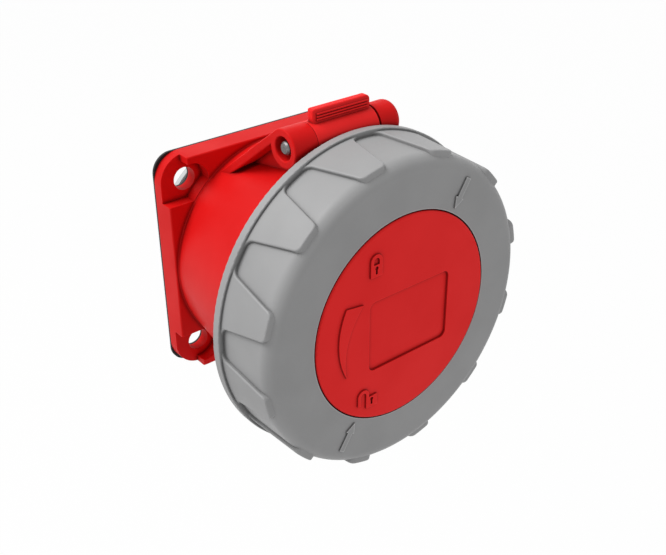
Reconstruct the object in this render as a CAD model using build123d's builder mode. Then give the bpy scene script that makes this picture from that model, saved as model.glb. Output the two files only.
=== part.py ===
from build123d import *
import os
from math import cos, radians, sin, tan

os.makedirs("parts", exist_ok=True)

# All sizes are in millimetres. The panel's face is the plane y = 0 and the front looks along -Y.
# A value whose name ends in front or back is a distance from the panel's face towards the front,
# so y = -value, and negative values lie behind the panel.

# Working lengths: how far a cut runs past its face, and how close an edge is picked
cut_over = 1.0
touch = 0.01

# Contact tube: its bore takes the plug's shroud
tube_bore_radius = 32.3
tube_wall = 4.2
mouth_front = 66.0
mouth_edge_radius = 0.6
key_width = 5.4
key_depth = 2.2
key_length = 30.0

# Barrel
barrel_front = 42.0
barrel_step = 6.1
barrel_edge_radius = 1.2
cavity_step = 1.9
barrel_root_wall = 3.3
root_fillet = 0.4
root_land = 0.1
web_back = 20.0
web_thickness = 5.0
web_hole_clearance = 0.3

# Flange and gasket
flange_margin = 1.0
flange_corner_radius = 9.0
flange_thickness = 8.2
flange_edge_radius = 0.5
gasket_corner_radius = 6.5
gasket_thickness = 0.8
pad_thickness = 3.8
pad_wall_radius = 6.3
pad_notch = 1.0
hole_to_edge = 8.5
hole_diameter = 7.6

# Hinge
knuckle_radius = 5.9
knuckle_over_barrel = 0.9
hinge_before_barrel = 1.9
hinge_width = 40.8
lid_knuckle_width = 23.2
hinge_gap_left = 0.15
hinge_gap_right = 0.8
pin_radius = 2.0
pin_fit = 0.06
pin_press = 0.02
pin_recess = 0.5
pin_counterbore_depth = 6.0
pin_counterbore_gap = 1.6
pin_end_cover = 2.8
pin_end_gap = 0.6
pin_groove_count = 3
pin_groove_pitch = 0.9
pin_groove_width = 0.5
pin_groove_depth = 0.35
pin_chamfer = 0.5
roof_angle = 37.0
roof_thickness = 2.6
bracket_web_thickness = 2.5
bracket_root_depth = 3.0
bracket_edge_radius = 0.45
lug_end_radius = 2.4

# Hinge spring
spring_wire_radius = 0.5
spring_on_pin_gap = 0.45
spring_turns = 5
spring_pitch = 1.6
spring_bore_gap = 0.65
spring_end_gap = 0.75

# Lid
plate_rim = 11.3
disc_rise = 0.4
disc_edge_radius = 0.7
lid_plate_thickness = 2.5
lid_plate_gap = 0.6
lid_rib_height = 1.5
lid_rib_width = 1.3
seal_overlap_inside = 0.4
seal_overlap_outside = 0.5
seal_thickness = 2.15
seal_gap = 0.25
rib_clearance = 0.3
arm_half_angle = 14.4
arm_over_ramp = 1.4
arm_thickness = 2.7
arm_overlap = 1.1
tab_half_width = 10.8
tab_thickness = 2.6
tab_behind_axis = 0.8
tab_height = 9.8
tab_edge_radius = 0.5
tab_left_corner_radius = 0.6
tab_right_corner_radius = 1.6
tab_ridge_count = 3
tab_ridge_radius = 0.35
tab_ridge_pitch = 0.85
tab_ridge_place = 1.5
tab_ridge_end = 1.2

# Marks moulded on the lid and the ring
mark_height = 0.5
label_width = 31.9
label_height = 23.7
label_centre = (2.2, -2.0)
label_corner_radius = 2.2
label_depth = 0.7
padlock_width = 4.3
padlock_body_height = 3.9
padlock_bar = 1.1
keyhole_radius = 0.62
keyhole_length = 1.9
keyhole_slot = 0.7
closed_padlock_foot = (-11.85, 18.3)
open_padlock_foot = (-12.9, -26.3)
wedge_edge = 8.0
wedge_top = (-16.5, 10.7)
wedge_middle = (-21.6, 2.4)
wedge_start_angle = 296.9
wedge_end_angle = 242.4
arrow_from_hole = 1.45
arrow_head_length = 3.6
arrow_length = 9.9
arrow_head_half_width = 1.75
arrow_shaft_half_width = 0.95

# Locking ring
ring_slide_gap = 0.4
ring_wall = 4.9
ring_draft = 0.5
ring_front_wall = 2.9
ring_plate_gap = 0.2
ring_hole_gap = 0.35
ring_knuckle_gap = 1.2
ring_edge_radius = 4.0
lip_thickness = 2.8
lip_edge_radius = 0.3
ring_pad_height = 1.1
lip_over_pad = 0.8
ring_pad_count = 12
ring_pad_first_angle = 17.0
ring_pad_setback = 1.3
ring_pad_neck_half_angle = 9.2
ring_pad_end_half_angle = 4.7
ring_pocket_corner_radius = 2.7
ring_pad_corner_radius = 2.0
ring_pad_edge_radius = 0.5
ring_pad_sink = 1.2

# Bayonet. Angles run clockwise from straight up, as seen from the front.
ring_turn = 118.0
lug_rest_angle = 32.5
lug_half_angle = 9.0
lug_over_tube = 2.7
lug_from_lip = 2.0
lug_thickness = 3.0
ramp_height = 4.5
ramp_from_mouth = 4.5
ramp_lock_gap = 0.4
ramp_rise = 1.5
ramp_lead_angle = 12.5
ramp_overrun_angle = 8.0
ramp_sections = 7
snap_reach = 1.6
snap_gap = 0.4
snap_thickness = 1.3

# Contacts: a 32 A insert with three lines, neutral and earth
contact_count = 5
contact_circle_radius = 17.5
earth_angle = 180.0
line_pin_radius = 3.0
earth_pin_radius = 4.0
sleeve_fit = 0.05
sleeve_wall = 1.2
sleeve_slit_length = 16.0
sleeve_slit_width = 0.8
sleeve_collar_rim = 2.1
sleeve_collar_thickness = 2.0
sleeve_from_entry = 1.0
wire_hole_radius = 3.5
wire_hole_depth = 13.0
terminal_wall = 1.9
sleeve_spring_place = 7.0
sleeve_spring_radius = 0.5
sleeve_spring_gap = 0.05
sleeve_spring_split = 20.0

# Insert and terminal block
plug_gap = 4.7
insert_depth = 4.0
insert_chamfer = 0.6
entry_wall = 3.5
entry_clearance = 0.5
chamber_clearance = 1.35
block_flange_clearance = 0.3
block_flange_thickness = 5.0
block_wall = 4.9
block_rim = 1.4
block_rim_length = 2.4
block_behind_panel = 16.0
block_edge_radius = 0.6
terminal_recess = 2.5
terminal_clearance = 0.15

# Screws
terminal_screw_radius = 2.2
terminal_screw_from_end = 6.5
terminal_screw_length = 6.0
screw_slot_width = 0.8
screw_slot_depth = 1.2
screw_clearance = 0.15
clamp_thickness = 0.6
clamp_length = 7.0
clamp_width = 0.9
clamp_gap = 0.1
carrier_screw_count = 4
carrier_screw_first_angle = 45.0
carrier_screw_radius = 1.45
carrier_screw_head_radius = 2.6
carrier_screw_head_height = 2.0
carrier_screw_bite = 4.2
block_screw_radius = 2.0
block_screw_head_radius = 4.0
block_screw_head_height = 2.6
block_screw_bite = 14.0
block_screw_sink = 8.0

# Radii that follow from the plug's shroud outwards
tube_radius = tube_bore_radius + tube_wall
barrel_front_radius = tube_radius + barrel_step
cavity_radius = tube_bore_radius + cavity_step
barrel_root_radius = cavity_radius + barrel_root_wall
flange_side = 2 * (barrel_root_radius + flange_margin)
hole_spacing = flange_side - 2 * hole_to_edge
ramp_radius = tube_radius + ramp_height
lug_inner_radius = tube_radius + lug_over_tube
arm_inner_radius = ramp_radius + arm_over_ramp
arm_outer_radius = arm_inner_radius + arm_thickness
ring_bore_radius = arm_outer_radius + ring_slide_gap
lid_plate_radius = ring_bore_radius - lid_plate_gap
disc_radius = lid_plate_radius - plate_rim
ring_hole_radius = disc_radius + ring_hole_gap
ring_body_radius = ring_bore_radius + ring_wall
pad_radius = ring_body_radius + ring_pad_height
lip_radius = pad_radius + lip_over_pad
snap_inner_radius = ring_bore_radius - snap_reach
seal_inner_radius = tube_bore_radius - seal_overlap_inside
seal_outer_radius = tube_radius + seal_overlap_outside
wedge_outer_radius = disc_radius - wedge_edge
arrow_tip_radius = ring_hole_radius + arrow_from_hole
arrow_neck_radius = arrow_tip_radius + arrow_head_length
arrow_tail_radius = arrow_tip_radius + arrow_length

# Radii that follow from the contacts
insert_radius = tube_bore_radius - plug_gap
web_hole_radius = insert_radius + web_hole_clearance
flange_fit_radius = cavity_radius - block_flange_clearance
terminal_radius = wire_hole_radius + terminal_wall
block_neck_radius = contact_circle_radius + terminal_radius + block_wall
block_radius = block_neck_radius + block_rim
carrier_screw_circle_radius = (web_hole_radius + cavity_radius) / 2

# Places along the axis
gasket_front = gasket_thickness
flange_front = gasket_front + flange_thickness
pad_front = gasket_front + pad_thickness
bracket_root_front = flange_front - bracket_root_depth
web_front = web_back + web_thickness
insert_front = mouth_front - insert_depth
chamber_front = insert_front - entry_wall
sleeve_front = chamber_front - sleeve_from_entry
collar_back = web_back - sleeve_collar_thickness
block_flange_back = web_back - block_flange_thickness
block_back = -block_behind_panel
block_neck_back = block_back + block_rim_length
terminal_back = block_back + terminal_recess
terminal_screw_place = terminal_back + terminal_screw_from_end
lid_plate_back = mouth_front + seal_gap + seal_thickness
lid_plate_front = lid_plate_back + lid_plate_thickness
ring_wall_back = lid_plate_front + ring_plate_gap
ring_front = ring_wall_back + ring_front_wall
disc_front = ring_front + disc_rise
ring_pad_front = ring_front - ring_pad_setback

# Hinge axis, and what follows from it
hinge_front = barrel_front + hinge_before_barrel
hinge_height = barrel_front_radius + knuckle_over_barrel + knuckle_radius
hinge_left = -hinge_width / 2
hinge_right = hinge_width / 2
lid_knuckle_left = -lid_knuckle_width / 2 - (hinge_gap_right - hinge_gap_left) / 2
lid_knuckle_right = lid_knuckle_left + lid_knuckle_width
left_lug_inner = lid_knuckle_left - hinge_gap_left
right_lug_inner = lid_knuckle_right + hinge_gap_right
pin_counterbore_radius = pin_radius + pin_counterbore_gap
spring_coil_radius = pin_radius + spring_on_pin_gap + spring_wire_radius
spring_bore_radius = spring_coil_radius + spring_wire_radius + spring_bore_gap
spring_bore_depth = spring_turns * spring_pitch + 2 * spring_wire_radius + 2 * spring_end_gap
ring_back = hinge_front + knuckle_radius + ring_knuckle_gap
lip_front = ring_back + lip_thickness
lug_back = ring_back + lug_from_lip
lug_front = lug_back + lug_thickness
ramp_front = mouth_front - ramp_from_mouth
ramp_locked_back = lug_front + ramp_lock_gap
ramp_start_angle = lug_rest_angle + lug_half_angle + ramp_lead_angle
ramp_end_angle = lug_rest_angle + ring_turn + lug_half_angle + ramp_overrun_angle
arm_back = hinge_front + arm_overlap
tab_back = hinge_front - tab_behind_axis
tab_top = hinge_height + tab_height
sides = (0.0, 180.0)

contact_step = 360 / contact_count
contacts = {
    "earth_sleeve": (earth_angle, earth_pin_radius),
    "line_1_sleeve": (earth_angle + contact_step, line_pin_radius),
    "line_2_sleeve": (earth_angle + 2 * contact_step, line_pin_radius),
    "line_3_sleeve": (earth_angle + 3 * contact_step, line_pin_radius),
    "neutral_sleeve": (earth_angle + 4 * contact_step, line_pin_radius),
}


def radial_plane(angle):
    """Plane through the barrel's axis: local x is the radius, local y the distance to the front."""
    a = radians(angle)
    return Plane(origin=(0, 0, 0), x_dir=(sin(a), 0, cos(a)), z_dir=(cos(a), 0, -sin(a)))


def front_plane(front):
    """Plane across the barrel's axis at a distance from the panel, seen from the front."""
    return Plane.XZ.offset(front)


def polar(radius, angle):
    """Point in a front plane at an angle clockwise from straight up."""
    return (radius * sin(radians(angle)), radius * cos(radians(angle)))


def corner(sketch, x, y):
    """The sketch's corner nearest to a point in the sketch's own coordinates."""
    return sketch.vertices().sort_by_distance((x, y, 0))[0]


def carrier_screw_places():
    """Centres of the screws that hold the terminal block in the housing."""
    return [
        polar(carrier_screw_circle_radius, carrier_screw_first_angle + k * 360 / carrier_screw_count)
        for k in range(carrier_screw_count)
    ]


def outward(angle):
    """Direction away from the barrel's axis at an angle clockwise from straight up."""
    return (sin(radians(angle)), 0, cos(radians(angle)))


def finish(part, name):
    """Label the piece and write its STEP file."""
    part.label = name
    export_step(part, f"parts/{name}.step")


# Hinge bracket: a sloping roof, a web under it and a knuckle, on each side of the lid's knuckle
roof_top = (
    hinge_front - knuckle_radius * sin(radians(roof_angle)),
    hinge_height + knuckle_radius * cos(radians(roof_angle)),
)


def roof_height(front, thickness=0.0):
    """Height of the sloping roof at a distance from the panel, or of its underside."""
    drop = (roof_top[0] - front) * tan(radians(roof_angle))
    return roof_top[1] - drop - thickness / cos(radians(roof_angle))


def bracket_between(low_x, high_x, web_x):
    """One half of the hinge bracket, with its web at web_x."""
    root_top = roof_height(bracket_root_front)
    root_bottom = roof_height(bracket_root_front, roof_thickness)
    web_front_edge = barrel_front - barrel_edge_radius
    with BuildPart() as bracket:
        with BuildSketch(Plane.YZ.offset(low_x)):
            with BuildLine():
                Polyline(
                    (-roof_top[0], roof_top[1]),
                    (-bracket_root_front, root_top),
                    (-bracket_root_front, root_bottom),
                    (-roof_top[0], roof_height(roof_top[0], roof_thickness)),
                    close=True,
                )
            make_face()
            with Locations((-hinge_front, hinge_height)):
                Circle(knuckle_radius)
        extrude(amount=high_x - low_x)
        with BuildSketch(Plane.YZ.offset(web_x)):
            with BuildLine():
                Polyline(
                    (-roof_top[0], roof_top[1]),
                    (-bracket_root_front, root_top),
                    (-bracket_root_front, root_bottom),
                    (-web_front_edge, root_bottom),
                    (-web_front_edge, hinge_height),
                    close=True,
                )
            make_face()
        extrude(amount=bracket_web_thickness)
    return bracket.part


with BuildPart() as left_bracket:
    add(bracket_between(hinge_left, left_lug_inner, left_lug_inner - bracket_web_thickness))
    left_end = left_bracket.faces().sort_by(Axis.X)[0]
    fillet(left_end.edges(), radius=bracket_edge_radius)

with BuildPart() as right_bracket:
    add(bracket_between(right_lug_inner, hinge_right, right_lug_inner))
    right_end = right_bracket.faces().sort_by(Axis.X)[-1]
    fillet(right_end.edges().filter_by(GeomType.CIRCLE), radius=lug_end_radius)

# Housing: flange, barrel, contact tube, bayonet ramps and hinge bracket in one moulding
half_spacing = hole_spacing / 2
rim_reach = flange_side / 2 + cut_over
with BuildPart() as housing:
    with BuildSketch(front_plane(gasket_front)):
        RectangleRounded(flange_side, flange_side, flange_corner_radius)
    extrude(amount=flange_front - gasket_front)
    fillet(housing.faces().sort_by(Axis.Y)[0].edges(), radius=flange_edge_radius)

    # the corners are lowered round the holes, and open towards the left and right edges
    with BuildSketch(front_plane(pad_front)):
        with GridLocations(hole_spacing, hole_spacing, 2, 2):
            Circle(pad_wall_radius)
        for side_x, side_z in ((-1, -1), (-1, 1), (1, -1), (1, 1)):
            for near_x, high_z in ((half_spacing, half_spacing), (half_spacing + pad_notch, rim_reach)):
                low_z = half_spacing - pad_wall_radius
                with Locations((side_x * (near_x + rim_reach) / 2, side_z * (low_z + high_z) / 2)):
                    Rectangle(rim_reach - near_x, high_z - low_z)
    extrude(amount=flange_front - pad_front + cut_over, mode=Mode.SUBTRACT)
    with BuildSketch(front_plane(gasket_front)):
        with GridLocations(hole_spacing, hole_spacing, 2, 2):
            Circle(hole_diameter / 2)
    extrude(amount=pad_front - gasket_front, mode=Mode.SUBTRACT)

    # barrel and contact tube, solid at first
    root_rim_radius = barrel_root_radius + root_fillet + root_land
    with BuildSketch(radial_plane(0)) as barrel_profile:
        with BuildLine():
            Polyline(
                (0, gasket_front),
                (root_rim_radius, gasket_front),
                (root_rim_radius, flange_front),
                (barrel_root_radius, flange_front),
                (barrel_front_radius, barrel_front),
                (tube_radius, barrel_front),
                (tube_radius, mouth_front),
                (0, mouth_front),
                close=True,
            )
        make_face()
        fillet(corner(barrel_profile, barrel_root_radius, flange_front), radius=root_fillet)
        fillet(corner(barrel_profile, barrel_front_radius, barrel_front), radius=barrel_edge_radius)
        fillet(corner(barrel_profile, tube_radius, mouth_front), radius=mouth_edge_radius)
    revolve(axis=Axis.Y)
    add(left_bracket.part)
    add(right_bracket.part)

    # bayonet ramps: the face towards the panel climbs towards it, so turning pulls the lid home
    for side in sides:
        for step in range(ramp_sections):
            share = step / (ramp_sections - 1)
            angle = ramp_start_angle + side + share * (ramp_end_angle - ramp_start_angle)
            back = ramp_locked_back + ramp_rise * (1 - share)
            in_wall_radius = (tube_bore_radius + tube_radius) / 2
            with BuildSketch(radial_plane(angle)):
                with BuildLine():
                    Polyline(
                        (in_wall_radius, back),
                        (ramp_radius, back),
                        (ramp_radius, ramp_front),
                        (in_wall_radius, ramp_front),
                        close=True,
                    )
                make_face()
        loft()

    # inside: cavity for the terminal block from behind, bore for the plug from the front
    with BuildSketch(radial_plane(0)):
        with BuildLine():
            Polyline(
                (0, 0),
                (cavity_radius, 0),
                (cavity_radius, web_back),
                (web_hole_radius, web_back),
                (web_hole_radius, web_front),
                (tube_bore_radius, web_front),
                (tube_bore_radius, mouth_front),
                (0, mouth_front),
                close=True,
            )
        make_face()
    revolve(axis=Axis.Y, mode=Mode.SUBTRACT)

    # keyway at the bottom of the mouth, in line with the earth contact
    with BuildSketch(front_plane(mouth_front - key_length)):
        with Locations((0, -tube_bore_radius)):
            Rectangle(key_width, 2 * key_depth)
    extrude(amount=key_length, mode=Mode.SUBTRACT)

    # pilot holes for the carrier screws
    with BuildSketch(front_plane(web_back)):
        with Locations(*carrier_screw_places()):
            Circle(carrier_screw_radius + pin_press)
    extrude(amount=carrier_screw_bite + screw_clearance, mode=Mode.SUBTRACT)

    # hinge pin hole with its open counterbore on the left, blind on the right
    with BuildSketch(Plane.YZ.offset(hinge_left)):
        with Locations((-hinge_front, hinge_height)):
            Circle(pin_radius + pin_press)
    extrude(amount=hinge_width - pin_end_cover, mode=Mode.SUBTRACT)
    with BuildSketch(Plane.YZ.offset(hinge_left)):
        with Locations((-hinge_front, hinge_height)):
            Circle(pin_counterbore_radius)
    extrude(amount=pin_counterbore_depth, mode=Mode.SUBTRACT)
    end_circles = housing.edges().filter_by(GeomType.CIRCLE).filter_by_position(
        Axis.X, hinge_left - touch, hinge_left + touch
    )
    fillet(end_circles.sort_by(SortBy.RADIUS)[0], radius=bracket_edge_radius)

finish(housing.part, "housing")

# Panel gasket: flat black sheet, as large as the flange with tighter corners
with BuildPart() as panel_gasket:
    with BuildSketch(front_plane(0)):
        RectangleRounded(flange_side, flange_side, gasket_corner_radius)
        Circle(cavity_radius, mode=Mode.SUBTRACT)
        with GridLocations(hole_spacing, hole_spacing, 2, 2):
            Circle(hole_diameter / 2, mode=Mode.SUBTRACT)
    extrude(amount=gasket_thickness)
finish(panel_gasket.part, "panel_gasket")

# Contact carrier: the round insert in the middle of the mouth, seated on the terminal block
with BuildPart() as contact_carrier:
    with BuildSketch(front_plane(web_back)):
        Circle(insert_radius)
    extrude(amount=insert_front - web_back)
    chamfer(contact_carrier.faces().sort_by(Axis.Y)[0].edges(), length=insert_chamfer)
    for angle, contact_radius in contacts.values():
        with BuildSketch(front_plane(chamber_front)):
            with Locations(polar(contact_circle_radius, angle)):
                Circle(contact_radius + entry_clearance)
        extrude(amount=entry_wall, mode=Mode.SUBTRACT)
        with BuildSketch(front_plane(web_back)):
            with Locations(polar(contact_circle_radius, angle)):
                Circle(contact_radius + sleeve_fit + sleeve_wall + chamber_clearance)
        extrude(amount=chamber_front - web_back, mode=Mode.SUBTRACT)
    with BuildSketch(front_plane(web_back)):
        Circle(block_screw_radius + pin_press)
    extrude(amount=block_screw_bite + screw_clearance, mode=Mode.SUBTRACT)
finish(contact_carrier.part, "contact_carrier")

# Terminal block: flange on the housing's web, neck through the panel, wider rim round the terminals
with BuildPart() as terminal_block:
    with BuildSketch(radial_plane(0)) as block_profile:
        with BuildLine():
            Polyline(
                (0, web_back),
                (flange_fit_radius, web_back),
                (flange_fit_radius, block_flange_back),
                (block_neck_radius, block_flange_back),
                (block_neck_radius, block_neck_back),
                (block_radius, block_neck_back),
                (block_radius, block_back),
                (0, block_back),
                close=True,
            )
        make_face()
        fillet(corner(block_profile, block_radius, block_back), radius=block_edge_radius)
    revolve(axis=Axis.Y)
    for angle, contact_radius in contacts.values():
        collar_radius = contact_radius + sleeve_fit + sleeve_wall + sleeve_collar_rim
        with BuildSketch(front_plane(block_back)):
            with Locations(polar(contact_circle_radius, angle)):
                Circle(terminal_radius + terminal_clearance)
        extrude(amount=web_back - block_back, mode=Mode.SUBTRACT)
        with BuildSketch(front_plane(collar_back - terminal_clearance)):
            with Locations(polar(contact_circle_radius, angle)):
                Circle(collar_radius + terminal_clearance)
        extrude(amount=sleeve_collar_thickness + terminal_clearance, mode=Mode.SUBTRACT)
        screw_axis = Plane(origin=(0, -terminal_screw_place, 0), x_dir=(0, 1, 0), z_dir=outward(angle))
        with BuildSketch(screw_axis.offset(contact_circle_radius)):
            Circle(terminal_screw_radius + screw_clearance)
        extrude(amount=block_radius - contact_circle_radius + cut_over, mode=Mode.SUBTRACT)
    with BuildSketch(front_plane(block_flange_back)):
        with Locations(*carrier_screw_places()):
            Circle(carrier_screw_radius + screw_clearance)
    extrude(amount=block_flange_thickness, mode=Mode.SUBTRACT)
    with BuildSketch(front_plane(block_back)):
        Circle(block_screw_radius + screw_clearance)
    extrude(amount=web_back - block_back, mode=Mode.SUBTRACT)
    with BuildSketch(front_plane(block_back)):
        Circle(block_screw_head_radius + 2 * screw_clearance)
    extrude(amount=block_screw_sink, mode=Mode.SUBTRACT)
finish(terminal_block.part, "terminal_block")

# Contact sleeves: split tube in front, collar held between the two mouldings, terminal behind
for name, (angle, contact_radius) in contacts.items():
    bore_radius = contact_radius + sleeve_fit
    tube_outer = bore_radius + sleeve_wall
    place = polar(contact_circle_radius, angle)
    with BuildPart() as sleeve:
        with BuildSketch(front_plane(collar_back)):
            with Locations(place):
                Circle(tube_outer + sleeve_collar_rim)
        extrude(amount=sleeve_collar_thickness)
        with BuildSketch(front_plane(web_back)):
            with Locations(place):
                Circle(tube_outer)
        extrude(amount=sleeve_front - web_back)
        with BuildSketch(front_plane(terminal_back)):
            with Locations(place):
                Circle(terminal_radius)
        extrude(amount=collar_back - terminal_back)
        with BuildSketch(front_plane(web_back)):
            with Locations(place):
                Circle(bore_radius)
        extrude(amount=sleeve_front - web_back, mode=Mode.SUBTRACT)
        with BuildSketch(front_plane(terminal_back)):
            with Locations(place):
                Circle(wire_hole_radius)
        extrude(amount=wire_hole_depth, mode=Mode.SUBTRACT)
        for slit_x in (outward(angle + 90), outward(angle)):
            slit_plane = Plane(
                origin=(place[0], -sleeve_front, place[1]), x_dir=slit_x, z_dir=(0, 1, 0)
            )
            with BuildSketch(slit_plane):
                Rectangle(2 * (tube_outer + cut_over), sleeve_slit_width)
            extrude(amount=sleeve_slit_length, mode=Mode.SUBTRACT)
        screw_axis = Plane(origin=(0, -terminal_screw_place, 0), x_dir=(0, 1, 0), z_dir=outward(angle))
        with BuildSketch(screw_axis.offset(contact_circle_radius)):
            Circle(terminal_screw_radius + pin_press)
        extrude(amount=terminal_radius + cut_over, mode=Mode.SUBTRACT)
    finish(sleeve.part, name)

# Sleeve springs: one split steel ring round the front of each sleeve
with BuildPart() as sleeve_springs:
    for angle, contact_radius in contacts.values():
        place = polar(contact_circle_radius, angle)
        tube_outer = contact_radius + sleeve_fit + sleeve_wall
        ring_mean_radius = tube_outer + sleeve_spring_gap + sleeve_spring_radius
        spring_axis = Axis((place[0], 0, place[1]), (0, 1, 0))
        with BuildSketch(Plane.XY.offset(place[1])):
            with Locations((place[0] + ring_mean_radius, -(sleeve_front - sleeve_spring_place))):
                Circle(sleeve_spring_radius)
        revolve(axis=spring_axis, revolution_arc=360 - sleeve_spring_split)
finish(sleeve_springs.part, "sleeve_springs")

# Terminal screws and the pressure plates under them
clamp_outer = contact_circle_radius + wire_hole_radius - clamp_gap
with BuildPart() as terminal_clamps:
    for angle, contact_radius in contacts.values():
        clamp_plane = Plane(origin=(0, -terminal_screw_place, 0), x_dir=(0, 1, 0), z_dir=outward(angle))
        with BuildSketch(clamp_plane.offset(clamp_outer - clamp_thickness - 2 * clamp_gap)):
            Rectangle(clamp_length, clamp_width)
        extrude(amount=clamp_thickness)
finish(terminal_clamps.part, "terminal_clamps")

with BuildPart() as terminal_screws:
    for angle, contact_radius in contacts.values():
        screw_plane = Plane(origin=(0, -terminal_screw_place, 0), x_dir=(0, 1, 0), z_dir=outward(angle))
        with BuildSketch(screw_plane.offset(clamp_outer - clamp_gap)):
            Circle(terminal_screw_radius)
        extrude(amount=terminal_screw_length)
        with BuildSketch(screw_plane.offset(clamp_outer - clamp_gap + terminal_screw_length)):
            Rectangle(screw_slot_width, 2 * terminal_screw_radius)
        extrude(amount=-screw_slot_depth, mode=Mode.SUBTRACT)
finish(terminal_screws.part, "terminal_screws")

# Screws that hold the terminal block's flange on the housing's web
with BuildPart() as carrier_screws:
    head_back = block_flange_back - carrier_screw_head_height
    with BuildSketch(front_plane(block_flange_back)):
        with Locations(*carrier_screw_places()):
            Circle(carrier_screw_radius)
    extrude(amount=web_back + carrier_screw_bite - block_flange_back)
    with BuildSketch(front_plane(head_back)):
        with Locations(*carrier_screw_places()):
            Circle(carrier_screw_head_radius)
    extrude(amount=carrier_screw_head_height)
    with BuildSketch(front_plane(head_back)):
        with Locations(*carrier_screw_places()):
            Rectangle(screw_slot_width, 2 * carrier_screw_head_radius)
    extrude(amount=screw_slot_depth, mode=Mode.SUBTRACT)
finish(carrier_screws.part, "carrier_screws")

# Screw in the middle that clamps the terminal block to the insert
with BuildPart() as block_screw:
    head_seat = block_back + block_screw_sink
    with BuildSketch(front_plane(head_seat)):
        Circle(block_screw_radius)
    extrude(amount=web_back + block_screw_bite - head_seat)
    with BuildSketch(front_plane(head_seat - block_screw_head_height)):
        Circle(block_screw_head_radius)
    extrude(amount=block_screw_head_height)
    with BuildSketch(front_plane(head_seat - block_screw_head_height)):
        Rectangle(screw_slot_width, 2 * block_screw_head_radius)
    extrude(amount=screw_slot_depth, mode=Mode.SUBTRACT)
finish(block_screw.part, "block_screw")

# Hinge pin: grooved near the end that shows in the left knuckle
pin_left = hinge_left + pin_recess
pin_right = hinge_right - pin_end_cover - pin_end_gap
with BuildPart() as hinge_pin:
    with BuildSketch(Plane.YZ.offset(pin_left)):
        with Locations((-hinge_front, hinge_height)):
            Circle(pin_radius)
    extrude(amount=pin_right - pin_left)
    chamfer(hinge_pin.edges().filter_by(GeomType.CIRCLE), length=pin_chamfer)
    for k in range(pin_groove_count):
        with BuildSketch(Plane.YZ.offset(pin_left + (k + 1) * pin_groove_pitch)):
            with Locations((-hinge_front, hinge_height)):
                Circle(pin_radius + cut_over)
                Circle(pin_radius - pin_groove_depth, mode=Mode.SUBTRACT)
        extrude(amount=pin_groove_width, mode=Mode.SUBTRACT)
finish(hinge_pin.part, "hinge_pin")

# Hinge spring: torsion coil round the pin, inside the lid's knuckle
spring_left = lid_knuckle_right - spring_bore_depth + spring_end_gap
with BuildPart() as hinge_spring:
    with BuildLine():
        coil = Helix(
            pitch=spring_pitch,
            height=spring_turns * spring_pitch,
            radius=spring_coil_radius,
            center=(spring_left + spring_wire_radius, -hinge_front, hinge_height),
            direction=(1, 0, 0),
        )
    with BuildSketch(Plane(origin=coil @ 0, z_dir=coil % 0)):
        Circle(spring_wire_radius)
    sweep(path=coil, is_frenet=True)
finish(hinge_spring.part, "hinge_spring")

# Thumb tab of the lid: a rounded upright plate with three thin ridges on its front
with BuildPart() as thumb_tab:
    with BuildSketch(front_plane(tab_back)) as tab_outline:
        with Locations((0, (tab_top + hinge_height) / 2)):
            Rectangle(2 * tab_half_width, tab_top - hinge_height)
        fillet(corner(tab_outline, -tab_half_width, tab_top), radius=tab_left_corner_radius)
        fillet(corner(tab_outline, tab_half_width, tab_top), radius=tab_right_corner_radius)
    extrude(amount=tab_thickness)
    top_faces = thumb_tab.faces().sort_by(Axis.Y)
    rounded_edges = top_faces[0].edges() + top_faces[-1].edges()
    fillet(rounded_edges.filter_by_position(Axis.Z, hinge_height + touch, tab_top), radius=tab_edge_radius)
    ridge_half_width = tab_half_width - tab_ridge_end
    for k in range(tab_ridge_count):
        with BuildSketch(Plane.YZ.offset(-ridge_half_width)):
            with Locations((-tab_back - tab_thickness, tab_top - tab_ridge_place - k * tab_ridge_pitch)):
                Circle(tab_ridge_radius)
        extrude(amount=2 * ridge_half_width)

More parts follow.
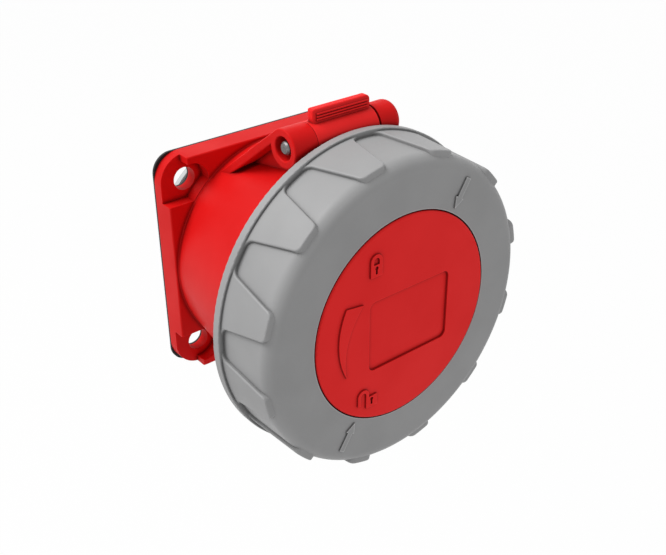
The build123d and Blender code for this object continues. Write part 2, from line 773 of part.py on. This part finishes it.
# Lid: centre disc, plate behind the ring, arm under the ring's lip, knuckle and thumb tab
with BuildPart() as lid:
    with BuildSketch(radial_plane(0)) as lid_profile:
        with BuildLine():
            Polyline(
                (0, lid_plate_back),
                (lid_plate_radius, lid_plate_back),
                (lid_plate_radius, lid_plate_front),
                (disc_radius, lid_plate_front),
                (disc_radius, disc_front),
                (0, disc_front),
                close=True,
            )
        make_face()
        fillet(corner(lid_profile, disc_radius, disc_front), radius=disc_edge_radius)
    revolve(axis=Axis.Y)

    # ribs that hold the seal
    for rib_radius in (
        seal_inner_radius - rib_clearance - lid_rib_width,
        seal_outer_radius + rib_clearance,
    ):
        with BuildSketch(front_plane(lid_plate_back - lid_rib_height)):
            Circle(rib_radius + lid_rib_width)
            Circle(rib_radius, mode=Mode.SUBTRACT)
        extrude(amount=lid_rib_height)

    # arm that runs back inside the ring, on the strip that the ring's lugs never pass
    with BuildSketch(radial_plane(-arm_half_angle)):
        with BuildLine():
            Polyline(
                (arm_inner_radius, arm_back),
                (arm_outer_radius, arm_back),
                (arm_outer_radius, lid_plate_front),
                (arm_inner_radius, lid_plate_front),
                close=True,
            )
        make_face()
    revolve(axis=Axis.Y, revolution_arc=2 * arm_half_angle)

    # knuckle with its solid lower front corner, and the thumb tab
    with BuildSketch(Plane.YZ.offset(lid_knuckle_left)):
        with Locations((-hinge_front, hinge_height)):
            Circle(knuckle_radius)
    extrude(amount=lid_knuckle_width)
    arm_half_width = arm_outer_radius * sin(radians(arm_half_angle))
    with BuildSketch(Plane.YZ.offset(-arm_half_width)):
        with Locations((-hinge_front - knuckle_radius / 2, hinge_height - knuckle_radius / 2)):
            Rectangle(knuckle_radius, knuckle_radius)
    extrude(amount=2 * arm_half_width)
    add(thumb_tab.part)

    # bores for the pin and its spring
    with BuildSketch(Plane.YZ.offset(hinge_left)):
        with Locations((-hinge_front, hinge_height)):
            Circle(pin_radius + pin_fit)
    extrude(amount=hinge_width, mode=Mode.SUBTRACT)
    with BuildSketch(Plane.YZ.offset(lid_knuckle_right - spring_bore_depth)):
        with Locations((-hinge_front, hinge_height)):
            Circle(spring_bore_radius)
    extrude(amount=spring_bore_depth, mode=Mode.SUBTRACT)

    # sunk field for a label, left bare
    with BuildSketch(front_plane(disc_front - label_depth)):
        with Locations(label_centre):
            RectangleRounded(label_width, label_height, label_corner_radius)
    extrude(amount=label_depth, mode=Mode.SUBTRACT)

    # raised padlocks, shut above and open below, with the wedge between them
    for foot, shackle_shift, leg in (
        (closed_padlock_foot, 0.0, 0.0),
        (open_padlock_foot, padlock_bar - padlock_width, padlock_body_height / 2),
    ):
        body_top = foot[1] + padlock_body_height
        arch_x = foot[0] + shackle_shift
        arch_height = body_top + padlock_bar
        with BuildSketch(front_plane(disc_front)):
            with Locations((foot[0], foot[1] + padlock_body_height / 2)):
                Rectangle(padlock_width, padlock_body_height)
            with Locations((arch_x, arch_height)):
                Circle(padlock_width / 2)
            with Locations((arch_x, (arch_height + body_top - leg) / 2)):
                Rectangle(padlock_width, arch_height - body_top + leg)
            with Locations((arch_x, arch_height)):
                Circle(padlock_width / 2 - padlock_bar, mode=Mode.SUBTRACT)
            with Locations((arch_x, (arch_height + body_top - leg) / 2)):
                Rectangle(padlock_width - 2 * padlock_bar, arch_height - body_top + leg, mode=Mode.SUBTRACT)
            with Locations((foot[0], foot[1] + padlock_body_height / 2)):
                Rectangle(padlock_width, padlock_body_height)
            with Locations((foot[0], foot[1] + padlock_body_height - padlock_bar)):
                Circle(keyhole_radius, mode=Mode.SUBTRACT)
            with Locations((foot[0], foot[1] + padlock_body_height - padlock_bar - keyhole_length / 2)):
                Rectangle(keyhole_slot, keyhole_length, mode=Mode.SUBTRACT)
        extrude(amount=mark_height)
    with BuildSketch(front_plane(disc_front)):
        with BuildLine():
            wedge_start = polar(wedge_outer_radius, wedge_start_angle)
            wedge_end = polar(wedge_outer_radius, wedge_end_angle)
            wedge_side = polar(wedge_outer_radius, (wedge_start_angle + wedge_end_angle) / 2)
            ThreePointArc(wedge_start, wedge_side, wedge_end)
            ThreePointArc(wedge_end, wedge_middle, wedge_top)
            Line(wedge_top, wedge_start)
        make_face()
    extrude(amount=mark_height)
finish(lid.part, "lid")

# Lid seal: rubber ring that meets the contact tube's rim
with BuildPart() as lid_seal:
    with BuildSketch(front_plane(mouth_front + seal_gap)):
        Circle(seal_outer_radius)
        Circle(seal_inner_radius, mode=Mode.SUBTRACT)
    extrude(amount=seal_thickness)
finish(lid_seal.part, "lid_seal")

# One grip pad of the locking ring: wide at the lip, narrow at the front, with rounded edges
pad_step = 360 / ring_pad_count


def pad_half_width(angle):
    """Half width across a flat cut at the pads' radius."""
    return pad_radius * tan(radians(angle))


with BuildPart() as ring_pad:
    pad_plane = Plane(origin=(0, 0, 0), x_dir=(1, 0, 0), z_dir=(0, 0, 1))
    neck_width = pad_half_width(ring_pad_neck_half_angle)
    full_width = neck_width + ring_pocket_corner_radius + cut_over
    end_width = pad_half_width(ring_pad_end_half_angle)
    sink_front = lip_front - ring_pad_sink
    with BuildSketch(pad_plane.offset(ring_bore_radius + ring_pad_sink)) as pad_outline:
        with BuildLine():
            Polyline(
                (-full_width, -sink_front),
                (-full_width, -lip_front),
                (-neck_width, -lip_front),
                (-end_width, -ring_pad_front),
                (end_width, -ring_pad_front),
                (neck_width, -lip_front),
                (full_width, -lip_front),
                (full_width, -sink_front),
                close=True,
            )
        make_face()
        for side in (-1, 1):
            fillet(corner(pad_outline, side * neck_width, -lip_front), radius=ring_pocket_corner_radius)
            fillet(corner(pad_outline, side * end_width, -ring_pad_front), radius=ring_pad_corner_radius)
    extrude(amount=lip_radius - ring_bore_radius - ring_pad_sink)
    with BuildSketch(radial_plane(0)):
        with BuildLine():
            Polyline(
                (0, sink_front),
                (pad_radius, sink_front),
                (pad_radius - ring_draft, ring_front),
                (0, ring_front),
                close=True,
            )
        make_face()
    revolve(axis=Axis.Y, mode=Mode.INTERSECT)
    top_face = ring_pad.faces().filter_by(GeomType.CONE).sort_by(Axis.Z)[-1]
    outer_edges = top_face.edges().filter_by_position(Axis.Y, -ring_front, -lip_front + touch)
    fillet(outer_edges, radius=ring_pad_edge_radius)

# Locking ring: lip, body with rounded front edge, pads, bayonet lugs, snap ribs and arrows
with BuildPart() as locking_ring:
    with BuildSketch(radial_plane(0)) as ring_profile:
        with BuildLine():
            Polyline(
                (ring_bore_radius, ring_back),
                (lip_radius, ring_back),
                (lip_radius, lip_front),
                (ring_body_radius, lip_front),
                (ring_body_radius - ring_draft, ring_front),
                (ring_hole_radius, ring_front),
                (ring_hole_radius, ring_wall_back),
                (ring_bore_radius, ring_wall_back),
                close=True,
            )
        make_face()
        fillet(corner(ring_profile, lip_radius, ring_back), radius=lip_edge_radius)
        fillet(corner(ring_profile, lip_radius, lip_front), radius=lip_edge_radius)
        fillet(corner(ring_profile, ring_body_radius - ring_draft, ring_front), radius=ring_edge_radius)
    revolve(axis=Axis.Y)
    pad_angles = [ring_pad_first_angle + k * pad_step for k in range(ring_pad_count)]
    add([ring_pad.part.rotate(Axis.Y, angle) for angle in pad_angles])

    in_ring_wall_radius = (ring_bore_radius + ring_body_radius) / 2
    for side in sides:
        for inner_radius, back, front in (
            (lug_inner_radius, lug_back, lug_front),
            (snap_inner_radius, lid_plate_back - snap_gap - snap_thickness, lid_plate_back - snap_gap),
        ):
            with BuildSketch(radial_plane(lug_rest_angle - lug_half_angle + side)):
                with BuildLine():
                    Polyline(
                        (inner_radius, back),
                        (in_ring_wall_radius, back),
                        (in_ring_wall_radius, front),
                        (inner_radius, front),
                        close=True,
                    )
                make_face()
            revolve(axis=Axis.Y, revolution_arc=2 * lug_half_angle)
        arrow_plane = Plane(
            origin=(0, -ring_front, 0),
            x_dir=(cos(radians(lug_rest_angle + side)), 0, -sin(radians(lug_rest_angle + side))),
            z_dir=(0, -1, 0),
        )
        with BuildSketch(arrow_plane):
            with BuildLine():
                Polyline(
                    (0, arrow_tip_radius),
                    (arrow_head_half_width, arrow_neck_radius),
                    (arrow_shaft_half_width, arrow_neck_radius),
                    (arrow_shaft_half_width, arrow_tail_radius),
                    (-arrow_shaft_half_width, arrow_tail_radius),
                    (-arrow_shaft_half_width, arrow_neck_radius),
                    (-arrow_head_half_width, arrow_neck_radius),
                    close=True,
                )
            make_face()
        extrude(amount=mark_height)
finish(locking_ring.part, "locking_ring")
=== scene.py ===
import math
import bpy
from mathutils import Matrix, Vector

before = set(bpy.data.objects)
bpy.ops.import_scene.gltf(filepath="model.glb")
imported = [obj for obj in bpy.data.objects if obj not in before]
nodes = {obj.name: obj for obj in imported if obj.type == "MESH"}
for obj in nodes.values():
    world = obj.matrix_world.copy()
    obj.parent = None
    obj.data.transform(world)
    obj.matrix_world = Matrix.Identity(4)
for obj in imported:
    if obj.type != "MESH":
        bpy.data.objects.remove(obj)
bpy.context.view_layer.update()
scene = bpy.context.scene

# Lengths are in metres. A noise scale is in waves a metre.
white = (1.0, 1.0, 1.0, 1.0)

# Sockets of a Mix node that mixes colours
mix_share, mix_first, mix_second, mix_result = 0, 6, 7, 2

# Moulded plastic and rubber
flow_scale = 55.0
mould_gloss_spread = 0.04
grain_strength = 0.5
grain_depth = 0.000006
soft_edge_radius = 0.00025
soft_edge_samples = 6
# Painted shade: the colour is darkened where nearby surfaces hide a point, in creases and at the feet of
# walls
painted_shade_from = 0.42
# Painted highlight: the colour is made paler on convex edges
painted_highlight_reach = 0.0005
painted_highlight_from, painted_highlight_to = 0.5, 0.9

# Drawn and turned metal
line_scale = 900.0
metal_gloss_spread = 0.08
line_strength = 0.4
line_depth = 0.00001
# Painted shade: the metal's colour is darkened in creases
metal_painted_shade_reach = 0.0008
metal_painted_shade_darkest = 0.12
metal_painted_shade_from, metal_painted_shade_to = 0.45, 0.97
along, across = 0.15, 1.0

# How many directions each point tests for the painted crease shade and the painted edge highlight
shade_samples = 8

# Camera, fitted to the photograph: its angles, and where the frame's origin lies in the picture
camera_azimuth = math.radians(-39.5674)
camera_elevation = math.radians(29.5701)
camera_roll = -0.0045336
focal_px = 963.6188
photo_width_px, photo_height_px = 666.0, 555.0
origin_x_px, origin_y_px = 257.5793, 231.00054
camera_distance = 0.33668275
sensor_width_mm = 36.0

# Stage and light
floor_half_width = 6.0
floor_height = -0.30
floor_colour = (0.82, 0.82, 0.82, 1.0)
floor_white_share = 0.97
world_strength = 0.60
lamp_place = (-0.50, 0.32, 0.88)
lamp_target = (0.0, -0.03, 0.0)
lamp_side = 0.6
lamp_power = 8.2


def new_material(name):
    mat = bpy.data.materials.new(name)
    mat.use_nodes = True
    mat.node_tree.nodes.clear()
    return mat, mat.node_tree.nodes, mat.node_tree.links


def add(tree_nodes, kind, **values):
    """Adds a node. A value named in_X sets the input socket X, and any other sets the node's own field."""
    node = tree_nodes.new(kind)
    for key, value in values.items():
        if key.startswith("in_"):
            node.inputs[key[3:].replace("_", " ")].default_value = value
        else:
            setattr(node, key, value)
    return node


def ramp(tree_nodes, links, source, low, high, start=0.35, end=0.65):
    """Turns the source's values from start to end into values from low to high."""
    node = add(tree_nodes, "ShaderNodeMapRange", clamp=True)
    node.inputs["From Min"].default_value = start
    node.inputs["From Max"].default_value = end
    node.inputs["To Min"].default_value = low
    node.inputs["To Max"].default_value = high
    links.new(source, node.inputs["Value"])
    return node.outputs["Result"]


def blended(tree_nodes, links, share, first, second):
    """Mixes two plain colours by a share that changes over the surface."""
    node = add(tree_nodes, "ShaderNodeMix", data_type="RGBA")
    node.inputs[mix_first].default_value = (*first, 1.0)
    node.inputs[mix_second].default_value = (*second, 1.0)
    links.new(share, node.inputs[mix_share])
    return node.outputs[mix_result]


def multiplied(tree_nodes, links, colour, shade, clamp=False):
    """Multiplies a colour by a shade of grey."""
    node = add(tree_nodes, "ShaderNodeMix", data_type="RGBA", blend_type="MULTIPLY", clamp_result=clamp)
    node.inputs[mix_share].default_value = 1.0
    links.new(colour, node.inputs[mix_first])
    links.new(shade, node.inputs[mix_second])
    return node.outputs[mix_result]


def moulded(name, colour, second, rough, grain=2600.0, specular=0.3, painted_shade_reach=0.0018, painted_shade_darkest=0.28,
            painted_shade_to=0.97, painted_highlight_gain=1.15):
    """Moulded plastic or rubber: fine grain, flow shades, painted shade darkening creases, painted
    highlights on convex edges and uneven gloss.
    """
    mat, n, links = new_material(name)
    out = add(n, "ShaderNodeOutputMaterial")
    shader = add(n, "ShaderNodeBsdfPrincipled")
    shader.inputs["Specular IOR Level"].default_value = specular
    links.new(shader.outputs["BSDF"], out.inputs["Surface"])
    coord = add(n, "ShaderNodeTexCoord")
    flow = add(n, "ShaderNodeTexNoise", in_Scale=flow_scale, in_Detail=3.0, in_Roughness=0.5)
    links.new(coord.outputs["Object"], flow.inputs["Vector"])
    fine = add(n, "ShaderNodeTexNoise", in_Scale=grain, in_Detail=2.0, in_Roughness=0.6)
    links.new(coord.outputs["Object"], fine.inputs["Vector"])
    base = blended(n, links, ramp(n, links, flow.outputs["Fac"], 0.0, 1.0), colour, second)
    # Painted shade: the colour is darkened where nearby surfaces hide the point, within the given reach
    painted_shade_occlusion = add(n, "ShaderNodeAmbientOcclusion", samples=shade_samples, in_Distance=painted_shade_reach)
    painted_darkening = ramp(n, links, painted_shade_occlusion.outputs["AO"], painted_shade_darkest, 1.0, painted_shade_from, painted_shade_to)
    # Painted highlight: the colour is made paler where the body is thin, on convex edges
    painted_highlight_occlusion = add(n, "ShaderNodeAmbientOcclusion", samples=shade_samples, inside=True,
                in_Distance=painted_highlight_reach)
    painted_lightening = ramp(n, links, painted_highlight_occlusion.outputs["AO"], painted_highlight_gain, 1.0, painted_highlight_from, painted_highlight_to)
    # The painted shade and the painted highlight are multiplied into the colour
    colour_with_painted_shade = multiplied(n, links, base, painted_darkening)
    links.new(multiplied(n, links, colour_with_painted_shade, painted_lightening, clamp=True), shader.inputs["Base Color"])
    gloss = ramp(n, links, flow.outputs["Fac"], rough - mould_gloss_spread, rough + mould_gloss_spread)
    links.new(gloss, shader.inputs["Roughness"])
    soft_edge = add(n, "ShaderNodeBevel", samples=soft_edge_samples, in_Radius=soft_edge_radius)
    bump = add(n, "ShaderNodeBump", in_Strength=grain_strength, in_Distance=grain_depth)
    links.new(fine.outputs["Fac"], bump.inputs["Height"])
    links.new(soft_edge.outputs["Normal"], bump.inputs["Normal"])
    links.new(bump.outputs["Normal"], shader.inputs["Normal"])
    return mat


def metal(name, colour, second, rough, stretch):
    """Drawn or turned metal: fine lines along the axis with the small stretch, and painted shade darkening
    creases.
    """
    mat, n, links = new_material(name)
    out = add(n, "ShaderNodeOutputMaterial")
    shader = add(n, "ShaderNodeBsdfPrincipled")
    shader.inputs["Metallic"].default_value = 1.0
    links.new(shader.outputs["BSDF"], out.inputs["Surface"])
    coord = add(n, "ShaderNodeTexCoord")
    mapping = add(n, "ShaderNodeMapping")
    mapping.inputs["Scale"].default_value = stretch
    links.new(coord.outputs["Object"], mapping.inputs["Vector"])
    lines = add(n, "ShaderNodeTexNoise", in_Scale=line_scale, in_Detail=4.0, in_Roughness=0.6)
    links.new(mapping.outputs["Vector"], lines.inputs["Vector"])
    base = blended(n, links, ramp(n, links, lines.outputs["Fac"], 0.0, 1.0), colour, second)
    # Painted shade: the colour is darkened where nearby surfaces hide the point
    painted_shade_occlusion = add(n, "ShaderNodeAmbientOcclusion", samples=shade_samples, in_Distance=metal_painted_shade_reach)
    painted_darkening = ramp(n, links, painted_shade_occlusion.outputs["AO"], metal_painted_shade_darkest, 1.0, metal_painted_shade_from, metal_painted_shade_to)
    links.new(multiplied(n, links, base, painted_darkening), shader.inputs["Base Color"])
    gloss = ramp(n, links, lines.outputs["Fac"], rough - metal_gloss_spread, rough + metal_gloss_spread)
    links.new(gloss, shader.inputs["Roughness"])
    bump = add(n, "ShaderNodeBump", in_Strength=line_strength, in_Distance=line_depth)
    links.new(lines.outputs["Fac"], bump.inputs["Height"])
    links.new(bump.outputs["Normal"], shader.inputs["Normal"])
    return mat


# Each moulded material paints shade into its creases and a highlight onto its edges; the lid and the grey
# ring set these stronger
red = moulded("red_plastic", (0.69, 0.008, 0.008), (0.65, 0.007, 0.007), 0.44, specular=0.08)
lid_red = moulded(
    "lid_red", (0.91, 0.022, 0.022), (0.87, 0.020, 0.020), 0.46,
    specular=0.08, painted_shade_darkest=0.20,
)
grey = moulded(
    "grey_plastic", (0.345, 0.345, 0.347), (0.325, 0.325, 0.327), 0.48,
    painted_shade_reach=0.0026, painted_shade_darkest=0.22, painted_shade_to=0.88, painted_highlight_gain=1.7,
)
insert = moulded("insert_plastic", (0.055, 0.055, 0.058), (0.045, 0.045, 0.048), 0.45)
block = moulded("block_plastic", (0.55, 0.57, 0.57), (0.51, 0.53, 0.53), 0.45)
rubber = moulded("black_rubber", (0.014, 0.014, 0.015), (0.022, 0.022, 0.022), 0.62, grain=1800.0)
steel = metal("steel", (0.25, 0.25, 0.25), (0.17, 0.17, 0.17), 0.50, (along, across, across))
brass = metal("brass", (0.78, 0.57, 0.24), (0.70, 0.50, 0.20), 0.26, (across, along, across))

looks = {
    "housing": red,
    "lid": lid_red,
    "locking_ring": grey,
    "panel_gasket": rubber,
    "lid_seal": rubber,
    "contact_carrier": insert,
    "terminal_block": block,
    "line_1_sleeve": brass,
    "line_2_sleeve": brass,
    "line_3_sleeve": brass,
    "neutral_sleeve": brass,
    "earth_sleeve": brass,
    "hinge_pin": steel,
    "hinge_spring": steel,
    "sleeve_springs": steel,
    "terminal_screws": steel,
    "terminal_clamps": steel,
    "carrier_screws": steel,
    "block_screw": steel,
}
for name, obj in nodes.items():
    obj.data.materials.clear()
    obj.data.materials.append(looks[name])

level = math.cos(camera_elevation)
right = Vector((math.cos(camera_azimuth), math.sin(camera_azimuth), 0.0))
back = Vector((
    math.sin(camera_azimuth) * level,
    -math.cos(camera_azimuth) * level,
    math.sin(camera_elevation),
))
up = back.cross(right)
right, up = (
    right * math.cos(camera_roll) + up * math.sin(camera_roll),
    up * math.cos(camera_roll) - right * math.sin(camera_roll),
)
aside = (origin_x_px - photo_width_px / 2) / focal_px * camera_distance
above = -(origin_y_px - photo_height_px / 2) / focal_px * camera_distance
place = -(right * aside + up * above) + back * camera_distance
cam_data = bpy.data.cameras.new("camera")
cam = bpy.data.objects.new("camera", cam_data)
scene.collection.objects.link(cam)
cam_data.sensor_width = sensor_width_mm
cam_data.lens = focal_px / photo_width_px * sensor_width_mm
cam_data.clip_start, cam_data.clip_end = 0.01, 20.0
cam.matrix_world = Matrix((
    (right.x, up.x, back.x, place.x),
    (right.y, up.y, back.y, place.y),
    (right.z, up.z, back.z, place.z),
    (0, 0, 0, 1),
))
scene.camera = cam

floor_mesh = bpy.data.meshes.new("floor")
floor_mesh.from_pydata(
    [
        (-floor_half_width, -floor_half_width, 0),
        (floor_half_width, -floor_half_width, 0),
        (floor_half_width, floor_half_width, 0),
        (-floor_half_width, floor_half_width, 0),
    ],
    [],
    [(0, 1, 2, 3)],
)
floor = bpy.data.objects.new("floor", floor_mesh)
floor.location = (0, 0, floor_height)
scene.collection.objects.link(floor)


def white_when_seen(tree, surface_in, lit, white_kind, share):
    """Shows this share of plain white to the camera and to reflections, and the lit shader otherwise."""
    n, links = tree.nodes, tree.links
    path = add(n, "ShaderNodeLightPath")
    seen = add(n, "ShaderNodeMath", operation="ADD", use_clamp=True)
    seen_more = add(n, "ShaderNodeMath", operation="ADD", use_clamp=True)
    links.new(path.outputs["Is Camera Ray"], seen.inputs[0])
    links.new(path.outputs["Is Glossy Ray"], seen.inputs[1])
    links.new(seen.outputs[0], seen_more.inputs[0])
    links.new(path.outputs["Is Transmission Ray"], seen_more.inputs[1])
    part = add(n, "ShaderNodeMath", operation="MULTIPLY")
    part.inputs[1].default_value = share
    links.new(seen_more.outputs[0], part.inputs[0])
    mix = add(n, "ShaderNodeMixShader")
    links.new(part.outputs[0], mix.inputs[0])
    links.new(lit, mix.inputs[1])
    plain = add(n, white_kind, in_Strength=1.0, in_Color=white)
    links.new(plain.outputs[0], mix.inputs[2])
    links.new(mix.outputs[0], surface_in)


# The floor keeps a little of the object's shadow
mat, n, links = new_material("floor")
out = add(n, "ShaderNodeOutputMaterial")
diffuse = add(n, "ShaderNodeBsdfDiffuse", in_Color=floor_colour)
white_when_seen(
    mat.node_tree, out.inputs["Surface"], diffuse.outputs["BSDF"], "ShaderNodeEmission", floor_white_share,
)
floor_mesh.materials.append(mat)

world = bpy.data.worlds.new("studio")
world.use_nodes = True
world.node_tree.nodes.clear()
world_out = add(world.node_tree.nodes, "ShaderNodeOutputWorld")
dim = add(world.node_tree.nodes, "ShaderNodeBackground", in_Strength=world_strength, in_Color=white)
white_when_seen(world.node_tree, world_out.inputs["Surface"], dim.outputs[0], "ShaderNodeBackground", 1.0)
scene.world = world

# One soft lamp above, to the left and a little behind, as in the photograph
lamp_data = bpy.data.lights.new("key", "AREA")
lamp_data.shape = "RECTANGLE"
lamp_data.size, lamp_data.size_y = lamp_side, lamp_side
lamp_data.energy = lamp_power
lamp = bpy.data.objects.new("key", lamp_data)
lamp.location = lamp_place
lamp.rotation_mode = "QUATERNION"
lamp.rotation_quaternion = (Vector(lamp_target) - Vector(lamp_place)).to_track_quat("-Z", "Y")
scene.collection.objects.link(lamp)

scene.view_settings.view_transform = "Standard"
